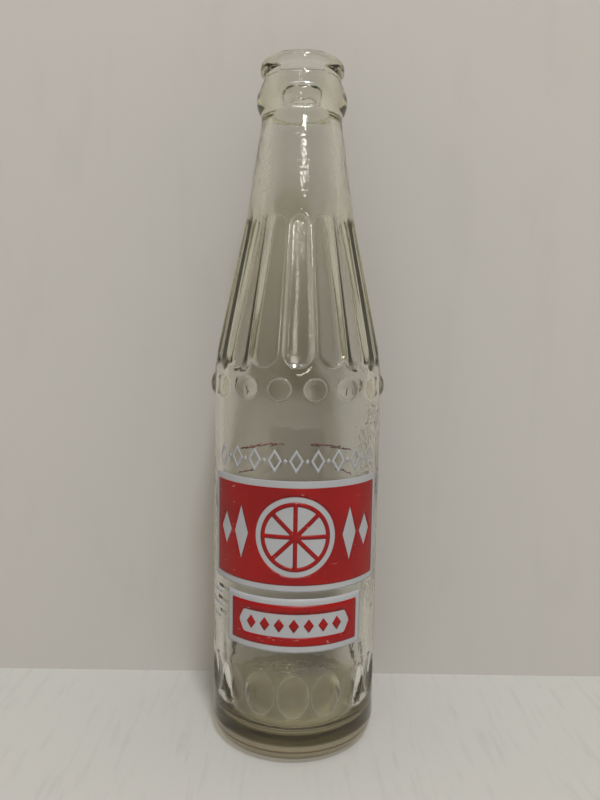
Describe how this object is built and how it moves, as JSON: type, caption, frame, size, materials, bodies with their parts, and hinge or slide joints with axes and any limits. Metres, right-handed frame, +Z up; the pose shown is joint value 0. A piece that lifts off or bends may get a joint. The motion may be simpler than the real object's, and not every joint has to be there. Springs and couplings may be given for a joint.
{
  "type": "soda bottle",
  "caption": "Clear glass soft drink bottle with crown lip, fluted shoulder, bead row, thumbprint base and fired red and white enamel panels; empty, open at the mouth.",
  "frame": {"origin": "centre of the foot ring, in the plane that the bottle stands on", "axes": "+Z up along the bottle's axis, -Y towards the front, where the printed panels face"},
  "size_m": [0.0566, 0.0566, 0.221],
  "materials": {
    "clear_glass": "clear, faint grey-green tint",
    "white_enamel": "fired enamel, satin",
    "red_enamel": "fired enamel, glossy"
  },
  "bodies": {
    "root": {"glass_bottle": "clear_glass", "white_main_ground": "white_enamel", "red_main_print": "red_enamel", "white_lower_ground": "white_enamel", "red_lower_frame": "red_enamel", "red_lozenge_row": "red_enamel", "white_upper_row": "white_enamel", "white_side_bars": "white_enamel", "red_rear_line_upper": "red_enamel", "red_rear_line_lower": "red_enamel"}
  },
  "joints": []
}
